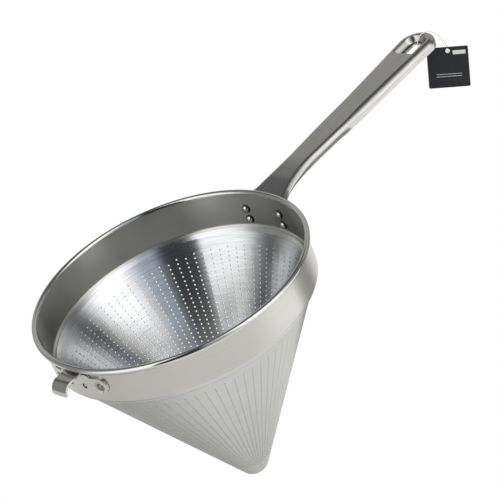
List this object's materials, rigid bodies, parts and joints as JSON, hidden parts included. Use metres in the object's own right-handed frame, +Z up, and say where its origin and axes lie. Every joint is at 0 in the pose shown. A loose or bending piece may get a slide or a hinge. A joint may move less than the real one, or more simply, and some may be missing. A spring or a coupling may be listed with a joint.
{
  "type": "chinois strainer",
  "caption": "Conical perforated steel strainer in a short rolled-rim collar, with a long pressed channel handle, a front rest hook and a hang tag on a string.",
  "frame": {"origin": "centre of the mouth, on the plane of the rim's top", "axes": "+Z up along the axis of the cone, +X from the mouth towards the end of the handle, -X towards the rest hook"},
  "size_m": [0.5414, 0.2506, 0.2366],
  "materials": {
    "stainless_satin": "satin",
    "stainless_bright": "polished",
    "black_card": "matte",
    "white_string": "matte"
  },
  "bodies": {
    "strainer": {"collar": "stainless_satin", "rim_wire": "stainless_satin", "perforated_cone": "stainless_satin", "handle": "stainless_satin", "handle_rivet_left_upper": "stainless_bright", "handle_rivet_left_lower": "stainless_bright", "handle_rivet_right_upper": "stainless_bright", "handle_rivet_right_lower": "stainless_bright", "rest_hook": "stainless_satin", "hook_rivet_left": "stainless_bright", "hook_rivet_right": "stainless_bright", "tag_string": "white_string", "string_knot": "white_string"},
    "tag": {"hang_tag": "black_card"}
  },
  "joints": [
    {"name": "tag_swing", "type": "hinge", "parent": "strainer", "child": "tag", "pos_m": [0.3843, -0.0195, -0.0136], "axis": [-0.5154, -0.697, 0.4985], "range_deg": [-5, 40]}
  ]
}
